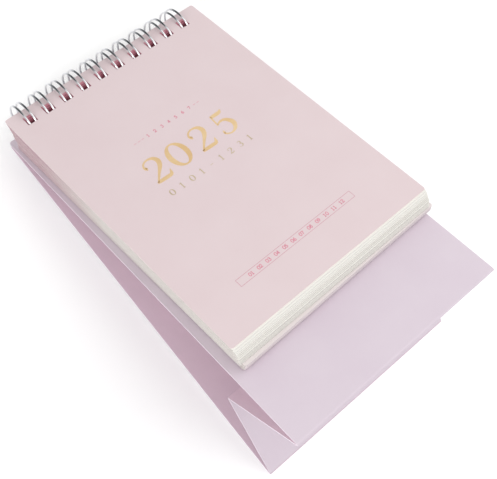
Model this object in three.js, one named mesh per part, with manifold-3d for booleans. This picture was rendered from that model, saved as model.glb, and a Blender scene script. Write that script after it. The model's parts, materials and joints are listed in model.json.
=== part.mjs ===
// Desk calendar: punched leaves on a twin-loop wire, bound to a folded card stand.
//
// Millimetres, +Z up. The calendar lies on its back, half opened: the loops and the
// bottom edge of the back panel touch the table. X runs along the wire, +Y points
// towards the wire, and the origin is under the middle of the whole calendar.
//
// Everything is drawn first in the frame of the wire: its X axis is the axis of the
// loops, its Y axis runs along the leaves towards their punched edge, and its Z axis
// stands square on the cover. The whole calendar is then laid down on the table.

import * as THREE from 'three';
import { mergeVertices } from 'three/addons/utils/BufferGeometryUtils.js';
import Module from 'manifold-3d';

// Twin-loop wire
const loopCount = 10;
const loopPitch = 8.4667;           // three loops to the inch
const loopRadius = 9.5;             // to the middle of the wire
const wireDiameter = 0.9;
const hairpinWidth = 2.7;           // between the two legs of one loop
const linkCornerRadius = 1.2;       // where a leg turns into the link to the next loop
const linkAngle = 249;              // where the links lie, in degrees from +Y round the loop
const closingGap = 1.1;             // from a loop's tip to the line of the links
const wireOffset = -0.75;           // the wire's middle, from the middle of the stand
const wireTurn = 0.64;              // the wire and its leaves lie slightly turned on the stand
const legSteps = 22;
const turnSteps = 6;
const cornerSteps = 3;
const wireSides = 6;
const mergeDistance = 1e-5;         // vertices closer than this are one

// Punched leaves
const leafCount = 20;               // the cover and the leaves under it
const leafWidth = 94;
const leafLength = 130.5;
const leafThickness = 0.42;
const leafGap = 0.17;               // air between two leaves
const leafCornerRadius = 1;
const cornerFacets = 3;             // of each round corner of a sheet
const leafOffset = 0.93;            // the leaves' middle, from the middle of the wire
const holeSize = 4.3;               // square punch
const punchDepth = 10;              // longer than any sheet is thick
const leafEdgeToHole = 5.95;        // top edge to the middle of the holes
const crownHeight = 1.6;            // the wire's middle line stands this far above the cover
const holeDrag = 0.37;              // the wire pulls at the far edge of the cover's holes with this gap
const slideShare = 0.92;            // how closely the leaves follow the curve of the wire
const skewedLeaves = 7;             // the lowest leaves lie slightly askew
const skewAngle = 0.6;
const skewSlip = 0.9;               // and have slipped down a little

// Folded card stand
const cardThickness = 0.6;
const standWidth = 96.5;
const frontLength = 163.9;          // hinge line to the bottom crease
const backShorter = 1.5;            // the back panel and its half of the base are this much shorter
const baseHalfLength = 41.6;        // front crease to the crease in the middle of the base
const openAngle = 20.2;             // between the front and the back panel
const foldGap = 0.3;                // between two faces of card at a fold
const seatGap = 0.32;               // between the last leaf and the front panel
const standCornerRadius = 1.5;
const standEdgeToHinge = 0.4;       // top edge of the front panel to the hinge line
const standEdgeToRing = 0.7;        // top edge of the front panel, beyond the axis of the loops
const noseSweep = 115;              // how far the rounded fold of a panel reaches round
const noseSteps = 6;
const creaseClearance = 0.25;       // of each half of the base, at the crease between them
const backHoleShift = 0.36;         // the back panel's holes allow for its swing

const coverColour = '#e3d1d3';
const leafColour = '#ecece4';
const lowerLeafColour = '#eee6e0';
const standColour = '#dccfda';
const wireColour = '#c9cacc';

const wasm = await Module();
wasm.setup();

const degrees = Math.PI / 180;
const leafPitch = leafThickness + leafGap;
const blockTop = loopRadius - crownHeight;
const frontFace = blockTop - leafCount * leafPitch + leafGap - seatGap;
const hingeY = standEdgeToRing - standEdgeToHinge;
const hingeZ = frontFace - cardThickness - foldGap / 2;
const backLength = frontLength - backShorter;

// Where the middle line of the wire crosses a flat sheet at a height over the loops' axis
function crossing(height) {
  return -Math.sqrt(loopRadius ** 2 - height ** 2);
}

function loopX(index) {
  return (index - (loopCount - 1) / 2) * loopPitch;
}

function material(colour, roughness, metalness) {
  return new THREE.MeshStandardMaterial({ color: colour, roughness, metalness });
}

function part(name, geometry, look) {
  const mesh = new THREE.Mesh(geometry, look);
  mesh.name = name;
  return mesh;
}

function toManifold(geometry) {
  const bare = geometry.clone();
  bare.deleteAttribute('normal');
  bare.deleteAttribute('uv');
  const merged = mergeVertices(bare, mergeDistance);
  return new wasm.Manifold(new wasm.Mesh({
    numProp: 3,
    vertProperties: new Float32Array(merged.attributes.position.array),
    triVerts: new Uint32Array(merged.index.array),
  }));
}

function toGeometry(solid) {
  const mesh = solid.getMesh();
  const geometry = new THREE.BufferGeometry();
  geometry.setAttribute('position', new THREE.BufferAttribute(mesh.vertProperties, 3));
  geometry.setIndex(new THREE.BufferAttribute(mesh.triVerts, 1));
  geometry.computeVertexNormals();
  return geometry;
}

// Rectangle with its own corner radii, from low x to high x and low y to high y
function roundedRectangle(lowX, highX, lowY, highY, topRadius, bottomRadius) {
  const shape = new THREE.Shape();
  shape.moveTo(lowX + bottomRadius, lowY);
  shape.lineTo(highX - bottomRadius, lowY);
  if (bottomRadius > 0) {
    shape.absarc(highX - bottomRadius, lowY + bottomRadius, bottomRadius, -Math.PI / 2, 0, false);
  }
  shape.lineTo(highX, highY - topRadius);
  shape.absarc(highX - topRadius, highY - topRadius, topRadius, 0, Math.PI / 2, false);
  shape.lineTo(lowX + topRadius, highY);
  shape.absarc(lowX + topRadius, highY - topRadius, topRadius, Math.PI / 2, Math.PI, false);
  if (bottomRadius > 0) {
    shape.lineTo(lowX, lowY + bottomRadius);
    shape.absarc(lowX + bottomRadius, lowY + bottomRadius, bottomRadius, -Math.PI, -Math.PI / 2, false);
  }
  return shape;
}

// The row of square holes, one for each loop, centred on the given point
function punched(solid, middleX, lineY) {
  let result = solid;
  for (let index = 0; index < loopCount; index += 1) {
    const punch = new THREE.BoxGeometry(holeSize, holeSize, punchDepth);
    punch.translate(middleX + loopX(index), lineY, 0);
    result = result.subtract(toManifold(punch));
  }
  return result;
}

function slab(shape, thickness, curveSegments) {
  return new THREE.ExtrudeGeometry(shape, { depth: thickness, bevelEnabled: false, curveSegments });
}

// A profile in the Y-Z plane, drawn out along X and centred there
function alongX(points, width) {
  const geometry = slab(new THREE.Shape(points), width, 1);
  geometry.translate(0, 0, -width / 2);
  geometry.rotateZ(Math.PI / 2);
  geometry.rotateY(Math.PI / 2);
  return geometry;
}

// Leaves. Each has its origin at the middle of its row of holes, on its lower face.
function leafGeometry() {
  const shape = roundedRectangle(
    leafOffset - leafWidth / 2, leafOffset + leafWidth / 2,
    leafEdgeToHole - leafLength, leafEdgeToHole,
    leafCornerRadius, leafCornerRadius,
  );
  return toGeometry(punched(toManifold(slab(shape, leafThickness, cornerFacets)), 0, 0));
}

// The cover's holes reach just past the outside of the wire where it slants through them
const coverMiddle = blockTop - leafThickness / 2;
const wireOuter = loopRadius + wireDiameter / 2;
const coverFarEdge = -Math.sqrt(wireOuter ** 2 - (blockTop - leafThickness) ** 2) - holeDrag;
const coverHoleLine = coverFarEdge + holeSize / 2;

function makeLeaf(index) {
  const lowerFace = blockTop - index * leafPitch - leafThickness;
  const slide = slideShare * (crossing(lowerFace + leafThickness / 2) - crossing(coverMiddle));
  const isCover = index === 0;
  const isSkewed = index >= leafCount - skewedLeaves;
  const colour = isCover ? coverColour : isSkewed ? lowerLeafColour : leafColour;
  const name = isCover ? 'cover_leaf' : `leaf_${String(index).padStart(2, '0')}`;
  const leaf = part(name, leafGeometry(), material(colour, 0.7, 0));
  leaf.position.set(0, coverHoleLine + slide - (isSkewed ? skewSlip : 0), lowerFace);
  leaf.rotation.z = isSkewed ? skewAngle * degrees : 0;
  return leaf;
}

// Wire. One length runs through every loop: out along one leg, round the tip, back
// along the other leg, and over a link to the next loop.
function wirePath() {
  const points = [];
  const perDegree = loopRadius * degrees;
  const put = (x, angle) => points.push(new THREE.Vector3(
    x, loopRadius * Math.cos(angle * degrees), loopRadius * Math.sin(angle * degrees),
  ));
  const half = hairpinWidth / 2;
  const cornerAngle = linkCornerRadius / perDegree;
  const legStart = linkAngle - cornerAngle;
  const tipAngle = linkAngle + closingGap / perDegree - 360;
  const legEnd = tipAngle + half / perDegree;
  for (let index = 0; index < loopCount; index += 1) {
    const middle = loopX(index);
    for (let step = 0; step <= legSteps; step += 1) {
      put(middle - half, legStart + (legEnd - legStart) * step / legSteps);
    }
    for (let step = 1; step < turnSteps; step += 1) {
      const turn = Math.PI * step / turnSteps;
      put(middle - half * Math.cos(turn), legEnd - half * Math.sin(turn) / perDegree);
    }
    for (let step = 0; step <= legSteps; step += 1) {
      put(middle + half, legEnd + (legStart - legEnd) * step / legSteps);
    }
    if (index === loopCount - 1) {
      break;
    }
    for (let step = 1; step <= cornerSteps; step += 1) {
      const turn = Math.PI / 2 * step / cornerSteps;
      const aside = linkCornerRadius * (1 - Math.cos(turn));
      put(middle + half + aside, legStart + cornerAngle * Math.sin(turn));
    }
    const nextLeg = loopX(index + 1) - half;
    for (let step = 0; step < cornerSteps; step += 1) {
      const turn = Math.PI / 2 * step / cornerSteps;
      const aside = linkCornerRadius * (1 - Math.sin(turn));
      put(nextLeg - aside, legStart + cornerAngle * Math.cos(turn));
    }
  }
  return points;
}

function wireGeometry(path) {
  const positions = [];
  const triangles = [];
  const radius = wireDiameter / 2;
  path.forEach((point, index) => {
    const before = path[Math.max(index - 1, 0)];
    const after = path[Math.min(index + 1, path.length - 1)];
    const along = after.clone().sub(before).normalize();
    const outward = new THREE.Vector3(0, point.y, point.z).normalize();
    outward.addScaledVector(along, -outward.dot(along)).normalize();
    const sideways = along.clone().cross(outward);
    for (let side = 0; side < wireSides; side += 1) {
      const angle = 2 * Math.PI * side / wireSides;
      const corner = point.clone()
        .addScaledVector(outward, radius * Math.cos(angle))
        .addScaledVector(sideways, radius * Math.sin(angle));
      positions.push(corner.x, corner.y, corner.z);
    }
    if (index === 0) {
      return;
    }
    for (let side = 0; side < wireSides; side += 1) {
      const next = (side + 1) % wireSides;
      const [a, b] = [(index - 1) * wireSides + side, (index - 1) * wireSides + next];
      triangles.push(a, b, a + wireSides, b, b + wireSides, a + wireSides);
    }
  });
  const last = (path.length - 1) * wireSides;
  for (let side = 1; side < wireSides - 1; side += 1) {
    triangles.push(0, side + 1, side);
    triangles.push(last, last + side, last + side + 1);
  }
  const geometry = new THREE.BufferGeometry();
  geometry.setAttribute('position', new THREE.Float32BufferAttribute(positions, 3));
  geometry.setIndex(triangles);
  geometry.computeVertexNormals();
  return geometry;
}

// Least air between two stretches of the wire that don't follow each other
function leastGap(path) {
  const apart = 2 * cornerSteps + turnSteps;
  let least = Infinity;
  for (let first = 0; first < path.length; first += 1) {
    for (let second = first + apart; second < path.length; second += 1) {
      least = Math.min(least, path[first].distanceTo(path[second]));
    }
  }
  return least - wireDiameter;
}

// Panel of the stand. Its profile starts at the hinge end, runs along -Y and ends in the
// rounded outside of the bottom fold, whose centre is the crease. `side` is 1 where the
// card lies above the line from hinge to crease, and -1 where it lies below.
function panelGeometry(length, topReach, holeLine, side) {
  const near = foldGap / 2;
  const far = near + cardThickness;
  const points = [
    new THREE.Vector2(topReach, side * near),
    new THREE.Vector2(topReach, side * far),
  ];
  for (let step = 0; step <= noseSteps; step += 1) {
    const angle = (90 + noseSweep * step / noseSteps) * degrees;
    points.push(new THREE.Vector2(far * Math.cos(angle) - length, side * far * Math.sin(angle)));
  }
  for (let step = noseSteps; step >= 0; step -= 1) {
    const angle = (90 + noseSweep * step / noseSteps) * degrees;
    points.push(new THREE.Vector2(near * Math.cos(angle) - length, side * near * Math.sin(angle)));
  }
  if (side > 0) {
    points.reverse();
  }
  const plan = roundedRectangle(
    -standWidth / 2, standWidth / 2, -length - 2 * far, topReach, standCornerRadius, 0,
  );
  const outline = slab(plan, 4 * far, cornerFacets);
  outline.translate(0, 0, -2 * far);
  const panel = toManifold(alongX(points, standWidth)).intersect(toManifold(outline));
  return toGeometry(punched(panel, wireOffset, holeLine));
}

// Half of the base. It runs along +Y from its bottom crease to the crease in the middle,
// where its end is cut to the half angle between the two halves.
function baseHalfGeometry(length, side, mitre) {
  const near = foldGap / 2;
  const far = near + cardThickness;
  const reach = (depth) => length - creaseClearance / Math.sin(mitre) - depth / Math.tan(mitre);
  const points = [
    new THREE.Vector2(0, side * near),
    new THREE.Vector2(0, side * far),
    new THREE.Vector2(reach(far), side * far),
    new THREE.Vector2(reach(near), side * near),
  ];
  if (side > 0) {
    points.reverse();
  }
  return alongX(points, standWidth);
}

function onPlane(y, z) {
  return new THREE.Vector2(y, z);
}

// Sides of the stand, seen along the wire: hinge, front crease, back crease, middle crease
const frontCrease = onPlane(hingeY - frontLength, hingeZ);
const backDirection = (180 + openAngle) * degrees;
const backCrease = onPlane(
  hingeY + backLength * Math.cos(backDirection),
  hingeZ + backLength * Math.sin(backDirection),
);
const backHalfLength = baseHalfLength - backShorter;
const creaseSpan = frontCrease.distanceTo(backCrease);
const spanShare = (baseHalfLength ** 2 - backHalfLength ** 2 + creaseSpan ** 2) / (2 * creaseSpan);
const apexDepth = Math.sqrt(baseHalfLength ** 2 - spanShare ** 2);
const spanDirection = backCrease.clone().sub(frontCrease).normalize();
const inward = onPlane(-spanDirection.y, spanDirection.x);
const middleCrease = frontCrease.clone()
  .addScaledVector(spanDirection, spanShare)
  .addScaledVector(inward, apexDepth);
const frontHalfTurn = Math.atan2(middleCrease.y - frontCrease.y, middleCrease.x - frontCrease.x);
const backHalfTurn = Math.atan2(middleCrease.y - backCrease.y, middleCrease.x - backCrease.x);
const halfApexAngle = (backHalfTurn - frontHalfTurn) / 2;

// Card holes: the front panel's lie where the wire passes, the back panel's a little further
const frontHoleLine = crossing(frontFace - cardThickness / 2) - hingeY;
const backDistance = Math.abs(
  hingeY * Math.sin(openAngle * degrees) - hingeZ * Math.cos(openAngle * degrees),
) + foldGap / 2 + cardThickness / 2;
const hingeAlongBack = hingeY * Math.cos(openAngle * degrees) + hingeZ * Math.sin(openAngle * degrees);
const backHoleLine = -Math.sqrt(loopRadius ** 2 - backDistance ** 2) - hingeAlongBack - backHoleShift;

const card = () => material(standColour, 0.75, 0);
const frontShape = panelGeometry(frontLength, standEdgeToHinge, frontHoleLine, 1);
const frontPanel = part('stand_front_panel', frontShape, card());
frontPanel.position.set(0, hingeY, hingeZ);

const backPanel = part('stand_back_panel', panelGeometry(backLength, 0, backHoleLine, -1), card());
backPanel.position.set(0, hingeY, hingeZ);
backPanel.rotation.x = openAngle * degrees;

const frontHalfShape = baseHalfGeometry(baseHalfLength, -1, halfApexAngle);
const frontHalf = part('base_front_half', frontHalfShape, card());
frontHalf.position.set(0, frontCrease.x, frontCrease.y);
frontHalf.rotation.x = frontHalfTurn;

const backHalfShape = baseHalfGeometry(backHalfLength, 1, halfApexAngle);
const backHalf = part('base_back_half', backHalfShape, card());
backHalf.position.set(0, backCrease.x, backCrease.y);
backHalf.rotation.x = backHalfTurn;

const path = wirePath();
const wire = part('twin_loop_wire', wireGeometry(path), material(wireColour, 0.25, 0.95));

// The wire and its leaves, laid on the stand
const bound = new THREE.Group();
bound.position.x = wireOffset;
bound.rotation.z = wireTurn * degrees;
bound.add(wire);
for (let index = 0; index < leafCount; index += 1) {
  bound.add(makeLeaf(index));
}

const standing = new THREE.Group();
standing.add(frontPanel, backPanel, frontHalf, backHalf, bound);

// The table touches the loops and the outside of the back panel's bottom fold. The turned
// wire stands on its right end, which reaches lower by the drop.
const foldRadius = foldGap / 2 + cardThickness;
function slopeOver(wireReach) {
  const lift = Math.asin((wireReach - foldRadius) / backCrease.length());
  return Math.atan2(-backCrease.y, -backCrease.x) - lift;
}
const wireEnd = loopX(loopCount - 1) + hairpinWidth / 2;
const drop = wireEnd * Math.sin(wireTurn * degrees) * Math.sin(slopeOver(wireOuter));
const tableSlope = slopeOver(wireOuter + drop);
standing.rotation.x = -tableSlope;

const calendar = new THREE.Group();
calendar.add(standing);
calendar.updateMatrixWorld(true);
const box = new THREE.Box3().setFromObject(calendar, true);
const middle = box.getCenter(new THREE.Vector3());
standing.position.set(-middle.x, -middle.y, -box.min.z);

console.log(`least gap of the wire to itself: ${leastGap(path).toFixed(2)} mm`);

export default calendar;
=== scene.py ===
import json
import math
import random

import bpy
from mathutils import Matrix, Vector


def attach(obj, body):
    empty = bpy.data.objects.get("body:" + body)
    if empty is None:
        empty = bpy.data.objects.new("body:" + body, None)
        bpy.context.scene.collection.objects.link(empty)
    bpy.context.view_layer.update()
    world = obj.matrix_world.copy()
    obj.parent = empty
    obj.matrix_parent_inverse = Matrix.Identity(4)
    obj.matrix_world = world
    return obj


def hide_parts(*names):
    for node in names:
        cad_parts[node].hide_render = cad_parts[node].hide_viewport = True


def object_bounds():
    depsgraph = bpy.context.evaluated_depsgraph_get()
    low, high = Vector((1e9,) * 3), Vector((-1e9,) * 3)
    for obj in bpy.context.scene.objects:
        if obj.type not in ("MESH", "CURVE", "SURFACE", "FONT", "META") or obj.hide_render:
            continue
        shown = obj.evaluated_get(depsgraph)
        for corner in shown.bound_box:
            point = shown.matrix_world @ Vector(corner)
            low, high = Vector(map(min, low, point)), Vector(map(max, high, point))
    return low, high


# Metres. The frame holds the stand's four panels, the wire, the cover and nineteen leaves.
# This script gives the card and the paper their surfaces, winds the wire smoothly, splits
# the leaves into thin sheets and prints the cover.

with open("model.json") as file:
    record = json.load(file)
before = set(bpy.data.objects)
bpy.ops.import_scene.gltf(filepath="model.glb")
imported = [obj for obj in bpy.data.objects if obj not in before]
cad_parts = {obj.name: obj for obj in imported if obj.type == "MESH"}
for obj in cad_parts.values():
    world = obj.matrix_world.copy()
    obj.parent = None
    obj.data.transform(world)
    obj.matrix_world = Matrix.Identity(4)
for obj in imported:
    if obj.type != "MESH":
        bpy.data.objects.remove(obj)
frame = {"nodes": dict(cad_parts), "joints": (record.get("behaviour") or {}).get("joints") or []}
cad_low, cad_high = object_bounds()

MM = 0.001
random.seed(7)

# Camera, placed in the frame of the stand's front panel
CAMERA_PLACE = Vector((-0.11968, -0.22475, 0.26527))
CAMERA_RIGHT = Vector((0.74536, -0.66661, -0.00890))
CAMERA_UP = Vector((0.56467, 0.62418, 0.53996))
SENSOR_WIDTH = 36
LENS = 62.47

# Leaves
SHEETS_PER_LEAF = 3
SHEET_GAP = 0.012 * MM
LEAF_JOG = 0.05 * MM
SHEET_JOG = 0.01 * MM
SHEET_TWIST = 0.0004  # radians
SKEW_LEAST = 0.1 * MM  # a leaf whose box is wider than the first one's by this lies askew
HOLE_SIZE = 4.3 * MM
HOLE_COUNT = 10
HOLE_PITCH = 8.4667 * MM
EDGE_TO_HOLE = 5.95 * MM
CORNER_RADIUS = 1.0 * MM
CORNER_STOPS = (0.35, 0.7, 1.0)  # grid lines through a round corner, in radii
GRID_SPACING = 14 * MM

# Wire
LOOP_RADIUS = 9.5 * MM
LOOP_LEAN = 0.06  # how far a loop's legs bulge to one side, in millimetres
WIRE_RADIUS = 0.45 * MM
WIRE_SIDES = 16
HAIRPIN_WIDTH = 2.7 * MM
LINK_CORNER_RADIUS = 1.2 * MM
LINK_ANGLE = math.radians(249)
CLOSING_GAP = 1.1 * MM
LEG_STEPS = 60
TURN_STEPS = 14
CORNER_STEPS = 7

joints = {joint["name"]: joint for joint in frame["joints"]}
hinge = Vector(joints["stand_fold"]["pos_m"])
front_crease = Vector(joints["base_front_fold"]["pos_m"])
back_crease = Vector(joints["base_back_fold"]["pos_m"])
loops_middle = Vector(joints["leaves_turn"]["pos_m"])


def axes_matrix(origin, x_axis, y_axis):
    z_axis = x_axis.cross(y_axis).normalized()
    y_axis = z_axis.cross(x_axis).normalized()
    matrix = Matrix((x_axis.normalized(), y_axis, z_axis)).transposed().to_4x4()
    matrix.translation = origin
    return matrix


def box_in(matrix, node):
    inverse = matrix.inverted()
    corners = [inverse @ vertex.co for vertex in frame["nodes"][node].data.vertices]
    low = Vector([min(corner[axis] for corner in corners) for axis in range(3)])
    high = Vector([max(corner[axis] for corner in corners) for axis in range(3)])
    return low, high


# Frames of the front panel and of the leaves: X along the wire, Y towards the punched
# edge, Z square on the cover
along_leaves = (hinge - front_crease).normalized()
stand_frame = axes_matrix(hinge, Vector((1, 0, 0)), along_leaves)
along_wire = -Vector(joints["leaves_turn"]["axis"]).normalized()
leaf_frame = axes_matrix(loops_middle, along_wire, along_leaves)

# Directions that the materials ask for
SHEET_NORMAL = leaf_frame.to_3x3().col[2].copy()
BACK_NORMAL = Vector((1, 0, 0)).cross((hinge - back_crease).normalized())
BASE_INSIDE = Vector((0, 0.8, 0.6))
FRONTWARDS = Vector((0, -1, 0))

# Holes of the leaves, in millimetres from the loops' axis: height of the cover's face, and
# how the middle of a hole follows the curve of the wire down through the block
cover_low, cover_high = box_in(leaf_frame, "cover_leaf")
HOLE_TOP = cover_high.z / MM
SLIDE_SHARE = 0.92
wire_at_cover = math.sqrt(LOOP_RADIUS ** 2 - ((cover_low.z + cover_high.z) / 2) ** 2)
HOLE_LINE = (cover_high.y - EDGE_TO_HOLE + SLIDE_SHARE * wire_at_cover) / MM


# Materials
class Nodes:
    """Short names for building the node tree of a material or of the world."""

    def __init__(self, owner):
        owner.use_nodes = True
        self.tree = owner.node_tree

    def feed(self, socket, value):
        """Links a socket to another one, or sets it. A colour is given as three numbers."""
        if isinstance(value, bpy.types.NodeSocket):
            self.tree.links.new(value, socket)
        elif socket.type == "RGBA":
            socket.default_value = (*value, 1)
        else:
            socket.default_value = value

    def add(self, kind, **inputs):
        node = self.tree.nodes.new(kind)
        for key, value in inputs.items():
            self.feed(node.inputs[key.replace("_", " ")], value)
        return node

    def math(self, operation, first, second=0.0):
        node = self.add("ShaderNodeMath")
        node.operation = operation
        self.feed(node.inputs[0], first)
        self.feed(node.inputs[1], second)
        return node.outputs[0]

    def dot(self, vector, direction):
        node = self.add("ShaderNodeVectorMath")
        node.operation = "DOT_PRODUCT"
        self.feed(node.inputs[0], vector)
        self.feed(node.inputs[1], direction)
        return node.outputs["Value"]

    def mix(self, factor, first, second):
        node = self.add("ShaderNodeMix")
        node.data_type = "RGBA"
        self.feed(node.inputs[0], factor)
        self.feed(node.inputs[6], first)
        self.feed(node.inputs[7], second)
        return node.outputs[2]

    def rise(self, value, start, end, interpolation="LINEAR"):
        """0 at start and beyond it, 1 at end. The end may be the lower of the two."""
        node = self.add("ShaderNodeMapRange", Value=value, From_Min=start, From_Max=end)
        node.interpolation_type = interpolation
        return node.outputs["Result"]


class Surface(Nodes):
    """A material's nodes. Noise has its scale per metre, and bumps are in metres."""

    def __init__(self, name):
        self.material = bpy.data.materials.new(name)
        super().__init__(self.material)
        self.shader = self.tree.nodes["Principled BSDF"]
        coordinates = self.add("ShaderNodeTexCoord").outputs
        self.place = coordinates["Object"]
        self.normal = coordinates["Normal"]

    def noise(self, scale, detail=3.0, roughness=0.5, vector=None):
        node = self.add(
            "ShaderNodeTexNoise",
            Vector=vector or self.place, Scale=scale, Detail=detail, Roughness=roughness,
        )
        return node.outputs["Fac"]

    def stretched(self, x_scale, y_scale, z_scale):
        scale = (x_scale, y_scale, z_scale)
        return self.add("ShaderNodeMapping", Vector=self.place, Scale=scale).outputs["Vector"]

    def ramp(self, factor, low_colour, high_colour, low=0.3, high=0.7):
        node = self.add("ShaderNodeValToRGB", Fac=factor)
        stops = ((low, low_colour), (high, high_colour))
        for element, (position, colour) in zip(node.color_ramp.elements, stops):
            element.position = position
            element.color = (*colour, 1)
        return node.outputs["Color"]

    def roughness(self, pattern, spread, least):
        return self.math("ADD", self.math("MULTIPLY", pattern, spread), least)

    def bump(self, height, strength, distance):
        node = self.add("ShaderNodeBump", Height=height, Strength=strength, Distance=distance)
        self.feed(self.shader.inputs["Normal"], node.outputs["Normal"])

    def set(self, **inputs):
        for key, value in inputs.items():
            self.feed(self.shader.inputs[key.replace("_", " ")], value)
        return self.material


# What the materials go by, in millimetres unless a comment says otherwise
SQUARE_ON = 0.7  # cosine from which a surface counts as facing a direction
HOLE_MARGIN = 0.2  # how far past a hole's edge its painted shade reaches down the cut edges
HOLE_RIM = 0.6  # and how far over the face of a leaf
ROW_REACH = 43.0  # half the length of the row of holes
HOLE_SHADE_DEPTH = 5.0
TOP_SHEETS = 2.1  # how far down from the cover's face the sheets look palest
TOP_SHEETS_FADE = 0.4
LAYER_SCALE = 1.3  # bands of paler and darker sheets, up through the block
LAYER_STRETCH = 0.01  # and along it
SIDE_SHADE_LENGTH = 100.0
INNER_SPREAD = 1.04  # how much lighter the lightest mauve is than the darkest
FRONT_SHADE = 0.15  # share of painted shade, grey, on card that faces the front
FRONT_SHADE_LEAD = 0.1  # cosine by which that painted shade starts early
REFLECTION_RISE = (math.radians(56), math.radians(74))  # painted dark reflection on the wire: round the loop, from the leaves' plane
REFLECTION_FALL = (math.radians(106), math.radians(92))


def linear(red, green, blue):
    """Colour given as it looks on a screen, from 0 to 255, as linear light."""
    return tuple((value / 255) ** 2.2 for value in (red, green, blue))


def facing(nodes, direction):
    """How squarely a surface at rest faces a direction, from -1 to 1."""
    return nodes.dot(nodes.normal, direction)


def faces_up(nodes):
    """1 on the two faces of a sheet that lies in the leaves' plane, 0 on its cut edges."""
    squareness = nodes.math("ABSOLUTE", facing(nodes, SHEET_NORMAL))
    return nodes.math("GREATER_THAN", squareness, SQUARE_ON)


def left_shade_mask(nodes):
    """1 on the left side of the block, where shade is painted, 0 elsewhere."""
    return nodes.math("GREATER_THAN", facing(nodes, -along_wire), SQUARE_ON)


def in_leaves(nodes, axis):
    """Where a point at rest lies along an axis of the leaves' frame, in millimetres."""
    along = leaf_frame.to_3x3().col[axis]
    shifted = nodes.math("SUBTRACT", nodes.dot(nodes.place, along), loops_middle.dot(along))
    return nodes.math("DIVIDE", shifted, MM)


def hole_shade_paint(nodes, colour, rim):
    """The colour, with painted shade in the holes: rose, and wine red deeper down, also on a rim
    of the sheet.
    """
    across, along, height = (in_leaves(nodes, axis) for axis in range(3))
    pitch = HOLE_PITCH / MM
    in_pitch = nodes.math("MODULO", nodes.math("ADD", across, pitch * HOLE_COUNT / 2), pitch)
    aside = nodes.math("ABSOLUTE", nodes.math("SUBTRACT", in_pitch, pitch / 2))
    height_squared = nodes.math("POWER", height, 2.0)
    wire_y = nodes.math("SQRT", nodes.math("SUBTRACT", (LOOP_RADIUS / MM) ** 2, height_squared))
    hole_y = nodes.math("SUBTRACT", HOLE_LINE, nodes.math("MULTIPLY", wire_y, SLIDE_SHARE))
    below = nodes.math("ABSOLUTE", nodes.math("SUBTRACT", along, hole_y))
    reach = HOLE_SIZE / MM / 2 + max(rim, HOLE_MARGIN)
    near = nodes.math("LESS_THAN", nodes.math("MAXIMUM", aside, below), reach)
    by_row = nodes.math("LESS_THAN", nodes.math("ABSOLUTE", across), ROW_REACH)
    near = nodes.math("MULTIPLY", near, by_row)
    if not rim:
        near = nodes.math("MULTIPLY", near, nodes.math("SUBTRACT", 1.0, faces_up(nodes)))
    # Painted shade: rose near the top of each hole, wine red further down
    depth = nodes.math("DIVIDE", nodes.math("SUBTRACT", HOLE_TOP, height), HOLE_SHADE_DEPTH)
    red = nodes.ramp(depth, linear(222, 158, 172), linear(150, 48, 74), 0.05, 0.75)
    return nodes.mix(near, colour, red)


def cover_paper():
    nodes = Surface("cover_paper")
    mottle = nodes.noise(60, 4.0)
    pink = nodes.ramp(mottle, linear(222, 203, 205), linear(224, 206, 208))
    # Painted shade: the cover's cut edge is darker on its left side
    edge = nodes.mix(left_shade_mask(nodes), linear(238, 232, 226), linear(206, 190, 189))
    colour = hole_shade_paint(nodes, nodes.mix(faces_up(nodes), edge, pink), 0)
    nodes.bump(nodes.noise(9000, 2.0), 0.12, 0.00004)
    rough = nodes.roughness(nodes.noise(2500, 2.0), 0.12, 0.46)
    return nodes.set(Base_Color=colour, Roughness=rough)


def leaf_paper(name, face, light, dark):
    nodes = Surface(name)
    across, along, height = (in_leaves(nodes, axis) for axis in range(3))
    layers = nodes.add(
        "ShaderNodeCombineXYZ",
        X=nodes.math("MULTIPLY", across, LAYER_STRETCH),
        Z=nodes.math("MULTIPLY", height, LAYER_SCALE),
    )
    bands = nodes.noise(1.0, 3.0, 0.6, layers.outputs["Vector"])
    # The cut edges are darker than the faces of the same paper: painted shade on the edges, over
    # random bands of paler and darker sheets
    colour = nodes.ramp(bands, dark, light, 0.38, 0.6)
    palest = HOLE_TOP - TOP_SHEETS
    below_cover = nodes.rise(height, palest - TOP_SHEETS_FADE, palest)
    colour = nodes.mix(below_cover, colour, linear(226, 224, 220))
    colour = nodes.mix(faces_up(nodes), colour, face)
    # Painted shade on the block's left side: mauve near the wire, paler further down
    down = nodes.math("DIVIDE", along, -SIDE_SHADE_LENGTH)
    painted_left_shade = nodes.ramp(down, linear(170, 140, 148), linear(193, 187, 183), 0.2, 0.6)
    colour = nodes.mix(left_shade_mask(nodes), colour, painted_left_shade)
    fibres = nodes.noise(3000, 3.0, 0.6)
    nodes.bump(fibres, 0.06, 0.00003)
    rough = nodes.roughness(fibres, 0.1, 0.68)
    hole_shaded = hole_shade_paint(nodes, colour, HOLE_RIM)
    return nodes.set(Base_Color=hole_shaded, Roughness=rough, Specular_IOR_Level=0.2)


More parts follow.
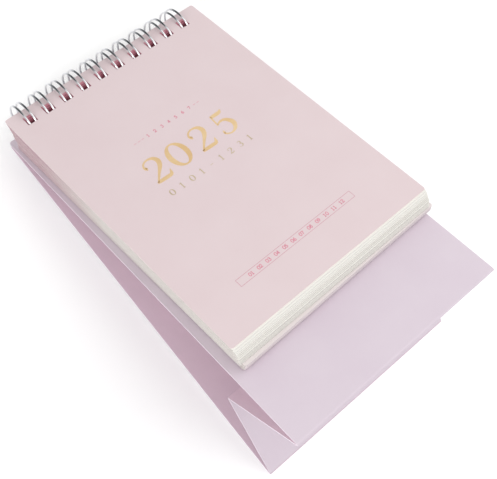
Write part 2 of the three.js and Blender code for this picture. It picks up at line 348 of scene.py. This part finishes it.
def stand_card(name, inner_normal=None, inner=linear(220, 197, 209)):
    """Lilac card. The side towards inner_normal is the inside of the stand, painted a deeper mauve
    as painted shade and pink bounced light.
    """
    nodes = Surface(name)
    mottle = nodes.noise(45, 5.0, 0.6)
    colour = nodes.ramp(mottle, linear(214, 200, 211), linear(217, 204, 214), 0.35, 0.65)
    if inner_normal is not None:
        # Painted shade and bounced light: the inside of the stand is mixed towards mauve
        lightest = tuple(value * INNER_SPREAD for value in inner)
        mauve = nodes.ramp(mottle, inner, lightest, 0.35, 0.65)
        inside_shade_mask = nodes.math("GREATER_THAN", facing(nodes, inner_normal), SQUARE_ON)
        colour = nodes.mix(inside_shade_mask, colour, mauve)
    # Painted shade: card that faces the front is mixed towards grey
    frontness = nodes.math("ADD", facing(nodes, FRONTWARDS), FRONT_SHADE_LEAD)
    shade = nodes.math("MULTIPLY", nodes.math("MAXIMUM", frontness, 0.0), FRONT_SHADE)
    colour = nodes.mix(shade, colour, linear(178, 166, 176))
    nodes.bump(nodes.noise(5200, 3.0), 0.16, 0.00005)
    rough = nodes.roughness(nodes.noise(1800, 2.0), 0.14, 0.5)
    return nodes.set(Base_Color=colour, Roughness=rough)


def bright_wire():
    """Bright metal, with a painted dark reflection over the top of each loop."""
    nodes = Surface("bright_wire")
    streaks = nodes.noise(1.0, 3.0, 0.5, nodes.stretched(6000, 500, 500))
    nodes.bump(streaks, 0.06, 0.00003)
    tint = nodes.ramp(nodes.noise(300, 2.0), linear(222, 223, 226), linear(236, 236, 238))
    # Painted reflection: the base colour darkens over the top of each loop
    turn = nodes.math("ARCTAN2", in_leaves(nodes, 2), in_leaves(nodes, 1))
    painted_dark_reflection = nodes.math("MULTIPLY", nodes.rise(turn, *REFLECTION_RISE), nodes.rise(turn, *REFLECTION_FALL))
    tint = nodes.mix(painted_dark_reflection, tint, linear(148, 150, 154))
    rough = nodes.roughness(streaks, 0.06, 0.08)
    return nodes.set(Base_Color=tint, Roughness=rough, Metallic=1.0)


def gold_foil(name, low, high):
    nodes = Surface(name)
    crinkle = nodes.noise(1500, 3.0, 0.6)
    nodes.bump(crinkle, 0.1, 0.00005)
    tint = nodes.ramp(nodes.noise(120, 3.0), low, high)
    rough = nodes.roughness(crinkle, 0.12, 0.32)
    return nodes.set(Base_Color=tint, Roughness=rough, Metallic=0.45)


def print_ink(name, low, high):
    nodes = Surface(name)
    tint = nodes.ramp(nodes.noise(3000, 2.0), low, high)
    return nodes.set(Base_Color=tint, Roughness=0.5)


COVER_PAPER = cover_paper()
LEAF_PAPER = leaf_paper(
    "leaf_paper", linear(236, 234, 228), linear(217, 214, 209), linear(199, 196, 190),
)
LOWER_LEAF_PAPER = leaf_paper(
    "lower_leaf_paper", linear(229, 220, 219), linear(221, 211, 214), linear(205, 195, 197),
)
STAND_CARD = stand_card("stand_card")
FRONT_CARD = stand_card("stand_card_front", -SHEET_NORMAL)
BACK_CARD = stand_card("stand_card_back", BACK_NORMAL)
# The base's inside gets a lighter mauve of painted shade and bounced light
BASE_CARD = stand_card("stand_card_base", BASE_INSIDE, linear(229, 205, 217))
BRIGHT_WIRE = bright_wire()
GOLD_FOIL = gold_foil("gold_foil", linear(236, 198, 144), linear(250, 220, 172))
PALE_FOIL = gold_foil("pale_foil", linear(204, 186, 150), linear(216, 198, 166))
PINK_INK = print_ink("pink_ink", linear(214, 128, 148), linear(222, 142, 160))
MAUVE_INK = print_ink("mauve_ink", linear(200, 142, 156), linear(208, 152, 166))


def give(node, material):
    materials = frame["nodes"][node].data.materials
    materials.clear()
    materials.append(material)


def inside(vertex):
    """The vertex, kept within the box of the frame."""
    return [min(max(value, low), high) for value, low, high in zip(vertex, cad_low, cad_high)]


def mesh_piece(name, vertices, faces, material, smooth=False):
    mesh = bpy.data.meshes.new(name)
    mesh.from_pydata(vertices, [], faces)
    mesh.validate()
    mesh.update()
    if smooth:
        mesh.polygons.foreach_set("use_smooth", [True] * len(mesh.polygons))
    mesh.materials.append(material)
    piece = bpy.data.objects.new(name, mesh)
    bpy.context.scene.collection.objects.link(piece)
    return piece


# Stand and cover keep their solids
give("stand_front_panel", FRONT_CARD)
give("stand_back_panel", BACK_CARD)
give("base_front_half", BASE_CARD)
give("base_back_half", STAND_CARD)
give("cover_leaf", COVER_PAPER)


# Sheets of the block
def in_row(index, middle=0.0):
    """Where a hole or a loop lies along the row, whose middle is given."""
    return middle + (index - (HOLE_COUNT - 1) / 2) * HOLE_PITCH


def grid_lines(reach, stops):
    """Coordinates from -reach to reach through every stop, with no step over GRID_SPACING."""
    lines = sorted({-reach, reach, *stops})
    result = [lines[0]]
    for start, end in zip(lines, lines[1:]):
        steps = max(1, math.ceil((end - start) / GRID_SPACING - 1e-6))
        result += [start + (end - start) * step / steps for step in range(1, steps + 1)]
    return result


def corner_stops(reach):
    """Grid lines through the round corners at both ends of a side."""
    steps = [CORNER_RADIUS * share for share in CORNER_STOPS]
    return [-reach + step for step in steps] + [reach - step for step in steps]


def rounded(x, y, half_size):
    """Draws the square corners of the grid onto the round corners of the sheet."""
    centre_x = min(max(x, -half_size.x + CORNER_RADIUS), half_size.x - CORNER_RADIUS)
    centre_y = min(max(y, -half_size.y + CORNER_RADIUS), half_size.y - CORNER_RADIUS)
    u = (x - centre_x) / CORNER_RADIUS
    v = (y - centre_y) / CORNER_RADIUS
    return (
        centre_x + CORNER_RADIUS * u * math.sqrt(1 - v * v / 2),
        centre_y + CORNER_RADIUS * v * math.sqrt(1 - u * u / 2),
    )


def make_sheet(name, half_size, row_middle, thickness, place, material):
    """A punched sheet with round corners. It reaches half_size to all sides of its middle."""
    hole_y = half_size.y - EDGE_TO_HOLE
    half = HOLE_SIZE / 2
    hole_xs = [in_row(index, row_middle) for index in range(HOLE_COUNT)]
    hole_sides = [x + side * half for x in hole_xs for side in (-1, 1)]
    xs = grid_lines(half_size.x, hole_sides + corner_stops(half_size.x))
    ys = grid_lines(half_size.y, [hole_y - half, hole_y + half] + corner_stops(half_size.y))

    def open_cell(column, row):
        if not (0 <= column < len(xs) - 1 and 0 <= row < len(ys) - 1):
            return True
        middle_x = (xs[column] + xs[column + 1]) / 2
        middle_y = (ys[row] + ys[row + 1]) / 2
        return abs(middle_y - hole_y) < half and any(abs(middle_x - x) < half for x in hole_xs)

    vertices = [
        place @ Vector((*rounded(x, y, half_size), side * thickness))
        for side in (0, 1) for y in ys for x in xs
    ]
    layer = len(xs) * len(ys)

    def corner_index(column, row, side):
        return side * layer + row * len(xs) + column

    faces = []
    for row in range(len(ys) - 1):
        for column in range(len(xs) - 1):
            if open_cell(column, row):
                continue
            ring = [(column, row), (column + 1, row), (column + 1, row + 1), (column, row + 1)]
            faces.append([corner_index(*point, 1) for point in ring])
            faces.append([corner_index(*point, 0) for point in reversed(ring)])
            beside = [(column, row - 1), (column + 1, row), (column, row + 1), (column - 1, row)]
            for edge, neighbour in enumerate(beside):
                if open_cell(*neighbour):
                    a, b = ring[edge], ring[(edge + 1) % 4]
                    faces.append([
                        corner_index(*a, 0), corner_index(*b, 0),
                        corner_index(*b, 1), corner_index(*a, 1),
                    ])
    used = sorted({index for face in faces for index in face})
    renumber = {index: count for count, index in enumerate(used)}
    return mesh_piece(
        name, [inside(vertices[index]) for index in used],
        [[renumber[index] for index in face] for face in faces], material,
    )


def block_of_sheets():
    leaves = sorted(node for node in frame["nodes"] if node.startswith("leaf_"))
    first_low, first_high = box_in(leaf_frame, leaves[0])
    leaf_size = first_high - first_low
    half_size = Vector((leaf_size.x / 2, leaf_size.y / 2))
    row_middle = -(first_low.x + first_high.x) / 2
    straight_edge = leaf_size.y - 2 * CORNER_RADIUS
    underside = cover_low.z
    for leaf in leaves:
        low, high = box_in(leaf_frame, leaf)
        skewed = high.x - low.x > leaf_size.x + SKEW_LEAST
        material = LOWER_LEAF_PAPER if skewed else LEAF_PAPER
        # The turn of an askew leaf follows from how much wider its box is than the leaf
        turn = math.asin((high.x - low.x - leaf_size.x) / straight_edge) if skewed else 0.0
        middle = (low + high) / 2
        # The sheets fill the leaf and the air between it and the one above
        pitch = (underside - low.z) / SHEETS_PER_LEAF
        underside = low.z
        leaf_jog_x, leaf_jog_y = random.gauss(0, LEAF_JOG), random.gauss(0, LEAF_JOG)
        for count in range(SHEETS_PER_LEAF):
            jog_x = leaf_jog_x + random.gauss(0, SHEET_JOG)
            jog_y = leaf_jog_y + random.gauss(0, SHEET_JOG)
            twist = random.gauss(0, SHEET_TWIST)
            place = (
                leaf_frame
                @ Matrix.Translation((middle.x + jog_x, middle.y + jog_y, low.z + count * pitch))
                @ Matrix.Rotation(turn + twist, 4, "Z")
            )
            piece = make_sheet(
                f"{leaf}_sheet_{count + 1}", half_size, row_middle, pitch - SHEET_GAP, place,
                material,
            )
            body = f"{leaf}_body"
            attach(piece, body)
            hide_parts(leaf)


block_of_sheets()


# Wire
def loop_point(x, angle):
    return Vector((x, LOOP_RADIUS * math.cos(angle), LOOP_RADIUS * math.sin(angle)))


def leg(x, lean, start, end):
    """One leg of a loop, which leans sideways most in its middle."""
    shares = [step / LEG_STEPS for step in range(LEG_STEPS + 1)]
    return [
        loop_point(x + lean * math.sin(math.pi * share), start + (end - start) * share)
        for share in shares
    ]


def wire_path():
    """One length through every loop: out along a leg, round the tip, back, and over a link."""
    half = HAIRPIN_WIDTH / 2
    leg_start = LINK_ANGLE - LINK_CORNER_RADIUS / LOOP_RADIUS
    tip = LINK_ANGLE + CLOSING_GAP / LOOP_RADIUS - 2 * math.pi
    leg_end = tip + half / LOOP_RADIUS
    points = []
    for index in range(HOLE_COUNT):
        middle = in_row(index)
        lean = random.gauss(0, LOOP_LEAN) * MM
        points += leg(middle - half, lean, leg_start, leg_end)
        for step in range(1, TURN_STEPS):
            turn = math.pi * step / TURN_STEPS
            points.append(loop_point(
                middle - half * math.cos(turn), leg_end - half * math.sin(turn) / LOOP_RADIUS,
            ))
        points += leg(middle + half, lean, leg_end, leg_start)
        if index == HOLE_COUNT - 1:
            break
        for step in range(1, CORNER_STEPS + 1):
            turn = math.pi / 2 * step / CORNER_STEPS
            points.append(loop_point(
                middle + half + LINK_CORNER_RADIUS * (1 - math.cos(turn)),
                leg_start + LINK_CORNER_RADIUS * math.sin(turn) / LOOP_RADIUS,
            ))
        next_leg = middle + HOLE_PITCH - half
        for step in range(CORNER_STEPS):
            turn = math.pi / 2 * step / CORNER_STEPS
            points.append(loop_point(
                next_leg - LINK_CORNER_RADIUS + LINK_CORNER_RADIUS * math.sin(turn),
                leg_start + LINK_CORNER_RADIUS * math.cos(turn) / LOOP_RADIUS,
            ))
    return points


def tube(name, points, place, material):
    """The wire along its points, which lie round the X axis of its own frame."""
    vertices, faces = [], []
    for index, point in enumerate(points):
        before = points[max(index - 1, 0)]
        after = points[min(index + 1, len(points) - 1)]
        along = (after - before).normalized()
        outward = Vector((0, point.y, point.z)).normalized()
        outward = (outward - along * outward.dot(along)).normalized()
        sideways = along.cross(outward)
        for side in range(WIRE_SIDES):
            angle = 2 * math.pi * side / WIRE_SIDES
            across = outward * math.cos(angle) + sideways * math.sin(angle)
            vertices.append(inside(place @ (point + WIRE_RADIUS * across)))
        if index == 0:
            continue
        first, second = (index - 1) * WIRE_SIDES, index * WIRE_SIDES
        for side in range(WIRE_SIDES):
            following = (side + 1) % WIRE_SIDES
            faces.append([first + side, first + following, second + following, second + side])
    faces.append(list(reversed(range(WIRE_SIDES))))
    faces.append(list(range(len(vertices) - WIRE_SIDES, len(vertices))))
    return mesh_piece(name, vertices, faces, material, smooth=True)


wire = tube("smooth_wire", wire_path(), leaf_frame, BRIGHT_WIRE)
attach(wire, "front_stand")
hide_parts("twin_loop_wire")


# Printed cover. The print's frame starts at the cover's top left corner, on its face. Its
# numbers are millimetres: to the right from there, and with a minus sign down from there.
print_frame = leaf_frame @ Matrix.Translation((cover_low.x, cover_high.y, cover_high.z))
FOIL_HEIGHT = 0.03
INK_HEIGHT = 0.012
SUNK = 0.01
RULE_WIDTH = 0.16

YEAR_LEFTS = (24.3, 34.3, 46.0, 57.2)
YEAR_BASELINE = -63.6
YEAR_SIZE = 11.9

DATES_ENDS = (24.9, 64.5)
DATES_BASELINE = -71.0
DATES_SIZE = 2.8

WEEK_ENDS = (35.5, 56.8)
WEEK_BASELINE = -43.7
DASH_LEFTS = (29.3, 31.1, 32.9, 58.3, 60.1)
DASH_LENGTH = 1.1
DASH_LINE = -43.0

MONTHS_ENDS = (23.2, 68.0)
MONTHS_BASELINE = -114.65
BOX_LEFT, BOX_RIGHT = 17.9, 72.9
BOX_TOP, BOX_BOTTOM = -112.4, -115.5

SMALL_SIZE = 1.45  # height of the weekdays and months

# Strokes of the figures: x, y and pen width, in heights of a figure
FIGURES = {
    "1": (
        ((0.12, 0.80, 0.04), (0.23, 0.86, 0.06), (0.34, 0.99, 0.05)),
        ((0.34, 0.99, 0.11), (0.34, 0.50, 0.13), (0.34, 0.01, 0.12)),
        ((0.13, 0.02, 0.04), (0.34, 0.025, 0.045), (0.55, 0.02, 0.04)),
    ),
    "2": (
        ((0.10, 0.70, 0.09), (0.07, 0.80, 0.06), (0.15, 0.93, 0.05), (0.32, 0.985, 0.055),
         (0.50, 0.92, 0.10), (0.575, 0.75, 0.135), (0.50, 0.55, 0.12), (0.29, 0.32, 0.07),
         (0.05, 0.05, 0.045)),
        ((0.03, 0.05, 0.07), (0.18, 0.055, 0.11), (0.40, 0.05, 0.115), (0.57, 0.06, 0.10),
         (0.65, 0.24, 0.02)),
        ((0.08, 0.72, 0.06), (0.11, 0.715, 0.13), (0.145, 0.71, 0.06)),
    ),
    "3": (
        ((0.10, 0.84, 0.07), (0.20, 0.96, 0.05), (0.36, 0.985, 0.055), (0.53, 0.88, 0.11),
         (0.50, 0.66, 0.10), (0.30, 0.54, 0.045)),
        ((0.30, 0.54, 0.045), (0.52, 0.47, 0.09), (0.60, 0.27, 0.14), (0.47, 0.06, 0.09),
         (0.28, 0.015, 0.05), (0.11, 0.08, 0.05), (0.06, 0.17, 0.07)),
    ),
    "4": (
        ((0.47, 0.99, 0.05), (0.25, 0.63, 0.05), (0.03, 0.28, 0.05)),
        ((0.03, 0.27, 0.07), (0.35, 0.27, 0.07), (0.66, 0.27, 0.07)),
        ((0.47, 0.99, 0.10), (0.47, 0.50, 0.13), (0.47, 0.01, 0.12)),
    ),
    "5": (
        ((0.16, 0.97, 0.05), (0.14, 0.75, 0.045), (0.12, 0.53, 0.045)),
        ((0.15, 0.93, 0.10), (0.32, 0.925, 0.12), (0.50, 0.935, 0.11), (0.60, 1.02, 0.02)),
        ((0.12, 0.535, 0.045), (0.26, 0.61, 0.06), (0.45, 0.57, 0.10), (0.58, 0.33, 0.14),
         (0.48, 0.10, 0.10), (0.28, 0.015, 0.05), (0.12, 0.08, 0.05), (0.07, 0.17, 0.07)),
        ((0.05, 0.19, 0.06), (0.085, 0.185, 0.13), (0.12, 0.18, 0.06)),
    ),
    "6": (
        ((0.56, 0.97, 0.04), (0.32, 0.82, 0.07), (0.14, 0.52, 0.13), (0.12, 0.28, 0.13),
         (0.32, 0.015, 0.05), (0.56, 0.12, 0.11), (0.60, 0.32, 0.13), (0.42, 0.57, 0.05),
         (0.17, 0.42, 0.05)),
    ),
    "7": (
        ((0.05, 0.78, 0.03), (0.07, 0.92, 0.09), (0.30, 0.93, 0.11), (0.62, 0.95, 0.06)),
        ((0.62, 0.95, 0.06), (0.41, 0.50, 0.10), (0.28, 0.01, 0.13)),
    ),
    "8": (
        ((0.33, 0.55, 0.06), (0.13, 0.75, 0.10), (0.33, 0.985, 0.05), (0.53, 0.75, 0.10),
         (0.33, 0.55, 0.06)),
        ((0.33, 0.55, 0.07), (0.06, 0.27, 0.12), (0.33, 0.015, 0.05), (0.60, 0.27, 0.12),
         (0.33, 0.55, 0.07)),
    ),
    "-": (((0.10, 0.48, 0.06), (0.56, 0.48, 0.06)),),
}
FIGURE_WIDTH = 0.68
FIGURE_SPACING = 1.1  # in widths of a figure, within a number
FIGURES["9"] = tuple(
    tuple((FIGURE_WIDTH - x, 1 - y, pen) for x, y, pen in stroke) for stroke in FIGURES["6"]
)
FOIL_WEIGHT = 1.18  # how much heavier the foil's strokes are than they are drawn above
INK_PEN = 0.19
LEAST_PEN = 0.01
CURVE_STEPS = 8

ZERO_WIDTH = 0.74
ZERO_REACH = 0.475  # up and down from its middle
ZERO_THIN = 0.05
ZERO_THICK = 0.15
ZERO_STEPS = 48


def smooth_line(points):
    """Catmull-Rom curve through the points."""
    padded = [points[0], *points, points[-1]]
    result = []
    for corners in zip(padded, padded[1:], padded[2:], padded[3:]):
        for step in range(CURVE_STEPS):
            t = step / CURVE_STEPS
            result.append(tuple(
                0.5 * (
                    2 * b + (c - a) * t + (2 * a - 5 * b + 4 * c - d) * t * t
                    + (3 * b - a - 3 * c + d) * t ** 3
                )
                for a, b, c, d in zip(*corners)
            ))
    result.append(points[-1])
    return result


def ring_line():
    """The figure nought, thick at its sides and thin at top and bottom."""
    middle, reach = ZERO_WIDTH / 2, (ZERO_WIDTH - ZERO_THICK) / 2
    line = []
    for step in range(ZERO_STEPS + 1):
        turn = 2 * math.pi * step / ZERO_STEPS
        width = ZERO_THIN + (ZERO_THICK - ZERO_THIN) * abs(math.cos(turn)) ** 1.5
        line.append((middle + reach * math.cos(turn), 0.5 + ZERO_REACH * math.sin(turn), width))
    return line


def ribbon(line, low, scale, height):
    """Closed strip of foil or ink along a line of (x, y, width)."""
    vertices, faces = [], []
    last = len(line) - 1
    for index, (x, y, width) in enumerate(line):
        before, after = line[max(index - 1, 0)], line[min(index + 1, last)]
        along = Vector((after[0] - before[0], after[1] - before[1])).normalized()
        aside = Vector((-along.y, along.x)) * max(width, LEAST_PEN) / 2
        for side in (1, -1):
            edge_x = low[0] + scale * (x + side * aside.x)
            edge_y = low[1] + scale * (y + side * aside.y)
            vertices += [(edge_x, edge_y, -SUNK), (edge_x, edge_y, height)]
    for index in range(last):
        a, b = 4 * index, 4 * index + 4
        faces += [
            [a + 1, a + 3, b + 3, b + 1], [a, b, b + 2, a + 2],
            [a, a + 1, b + 1, b], [a + 2, b + 2, b + 3, a + 3],
        ]
    faces += [[0, 2, 3, 1], [4 * last, 4 * last + 1, 4 * last + 3, 4 * last + 2]]
    return vertices, faces


def printed(name, parts, material):
    """One piece of the print, made of ribbons."""
    vertices, faces = [], []
    for part_vertices, part_faces in parts:
        start = len(vertices)
        vertices += [print_frame @ (Vector(vertex) * MM) for vertex in part_vertices]
        faces += [[start + index for index in face] for face in part_faces]
    piece = mesh_piece(name, vertices, faces, material)
    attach(piece, "cover")


def figure_strokes(figure):
    if figure == "0":
        return [ring_line()]
    return [smooth_line(stroke) for stroke in FIGURES[figure]]


def figures(text, lefts, baseline, size, height, pen=None):
    """Ribbons for the figures of a text, each from its own left edge. pen gives an even width."""
    return [
        ribbon(
            [(x, y, pen or width * FOIL_WEIGHT) for x, y, width in line],
            (left, baseline), size, height,
        )
        for figure, left in zip(text, lefts) for line in figure_strokes(figure)
    ]


def spread(count, ends, size):
    """Left edges of evenly spaced figures that fill a line between its two ends."""
    low, high = ends
    pitch = (high - low - FIGURE_WIDTH * size) / (count - 1)
    return [low + index * pitch for index in range(count)]


def number_row(numbers, ends, baseline):
    """Small numbers in ink, spread evenly over a line, each with its figures close together."""
    parts = []
    width = FIGURE_WIDTH * SMALL_SIZE
    for number, left in zip(numbers, spread(len(numbers), ends, SMALL_SIZE)):
        start = left - (len(number) - 1) * width / 2
        lefts = [start + index * width * FIGURE_SPACING for index in range(len(number))]
        parts += figures(number, lefts, baseline, SMALL_SIZE, INK_HEIGHT, INK_PEN)
    return parts


def rule(*points):
    return ribbon([(x, y, RULE_WIDTH) for x, y in points], (0, 0), 1.0, INK_HEIGHT)


def print_cover():
    year = figures("2025", YEAR_LEFTS, YEAR_BASELINE, YEAR_SIZE, FOIL_HEIGHT)
    printed("foil_number", year, GOLD_FOIL)
    dates = "0101-1231"
    lefts = spread(len(dates), DATES_ENDS, DATES_SIZE)
    printed("foil_line", figures(dates, lefts, DATES_BASELINE, DATES_SIZE, FOIL_HEIGHT), PALE_FOIL)
    week = number_row("1234567", WEEK_ENDS, WEEK_BASELINE)
    week += [rule((x, DASH_LINE), (x + DASH_LENGTH, DASH_LINE)) for x in DASH_LEFTS]
    printed("ink_week", week, PINK_INK)
    numbers = [f"{month:02d}" for month in range(1, 13)]
    printed("ink_months", number_row(numbers, MONTHS_ENDS, MONTHS_BASELINE), PINK_INK)
    box = [
        rule((BOX_LEFT, BOX_TOP), (BOX_RIGHT, BOX_TOP)),
        rule((BOX_LEFT, BOX_BOTTOM), (BOX_RIGHT, BOX_BOTTOM)),
        rule((BOX_LEFT, BOX_BOTTOM), (BOX_LEFT, BOX_TOP)),
        rule((BOX_RIGHT, BOX_BOTTOM), (BOX_RIGHT, BOX_TOP)),
    ]
    printed("ink_box", box, MAUVE_INK)


print_cover()


# Floor, lights, camera
FLOOR_REACH = 3.0
FLOOR_GLOW = 0.12  # a light table: keeps the shadows nearly as pale as the photograph's
ROOM_LIGHT = (1.0, 1.0, 1.0)
ROOM_DARK = (0.03, 0.03, 0.035)
ROOM_STRENGTH = 0.74
# The dark strip, by the direction's X and Y
STRIP_MIDDLE = -0.33
STRIP_CORE = 0.42
STRIP_EDGE = 0.62
STRIP_START = 0.35
STRIP_FULL = 0.5


def make_floor():
    nodes = Surface("floor")
    shade = nodes.ramp(nodes.noise(8, 2.0), linear(250, 250, 250), linear(252, 252, 252))
    material = nodes.set(
        Base_Color=shade, Roughness=0.6,
        Emission_Color=(1.0, 1.0, 1.0), Emission_Strength=FLOOR_GLOW,
    )
    turns = ((-1, -1), (1, -1), (1, 1), (-1, 1))
    corners = [(x * FLOOR_REACH, y * FLOOR_REACH, 0) for x, y in turns]
    floor = mesh_piece("floor", corners, [[0, 1, 2, 3]], material)


def area_light(name, place, target, size, power):
    light = bpy.data.lights.new(name, "AREA")
    light.shape = "SQUARE"
    light.size = size
    light.energy = power
    lamp = bpy.data.objects.new(name, light)
    lamp.location = place
    lamp.rotation_euler = (Vector(target) - Vector(place)).to_track_quat("-Z", "Y").to_euler()
    bpy.context.scene.collection.objects.link(lamp)


def make_world():
    """A pale room, with a dark strip behind the calendar that only mirroring surfaces show."""
    world = bpy.data.worlds.new("studio")
    nodes = Nodes(world)
    direction = nodes.add("ShaderNodeTexCoord").outputs["Generated"]
    across, along, _ = nodes.add("ShaderNodeSeparateXYZ", Vector=direction).outputs
    from_middle = nodes.math("ABSOLUTE", nodes.math("SUBTRACT", across, STRIP_MIDDLE))
    beside = nodes.rise(from_middle, STRIP_EDGE, STRIP_CORE, "SMOOTHSTEP")
    behind = nodes.rise(along, STRIP_START, STRIP_FULL, "SMOOTHSTEP")
    mirrored = nodes.add("ShaderNodeLightPath").outputs["Is Glossy Ray"]
    strip = nodes.math("MULTIPLY", nodes.math("MULTIPLY", beside, behind), mirrored)
    background = nodes.tree.nodes["Background"]
    nodes.feed(background.inputs["Color"], nodes.mix(strip, ROOM_LIGHT, ROOM_DARK))
    nodes.feed(background.inputs["Strength"], ROOM_STRENGTH)
    bpy.context.scene.world = world


def make_camera():
    data = bpy.data.cameras.new("camera")
    data.sensor_width = SENSOR_WIDTH
    data.lens = LENS
    data.clip_start = 0.01
    data.clip_end = 20
    camera = bpy.data.objects.new("camera", data)
    camera.matrix_world = stand_frame @ axes_matrix(CAMERA_PLACE, CAMERA_RIGHT, CAMERA_UP)
    bpy.context.scene.collection.objects.link(camera)
    bpy.context.scene.camera = camera


make_floor()
make_world()
area_light("key", place=(0.4, -0.12, 0.5), target=(0.04, -0.02, 0.03), size=0.8, power=1.85)
area_light("side", place=(-0.7, -0.15, 0.3), target=(0, -0.02, 0.02), size=0.5, power=2.5)
make_camera()
bpy.context.scene.view_settings.view_transform = "Standard"
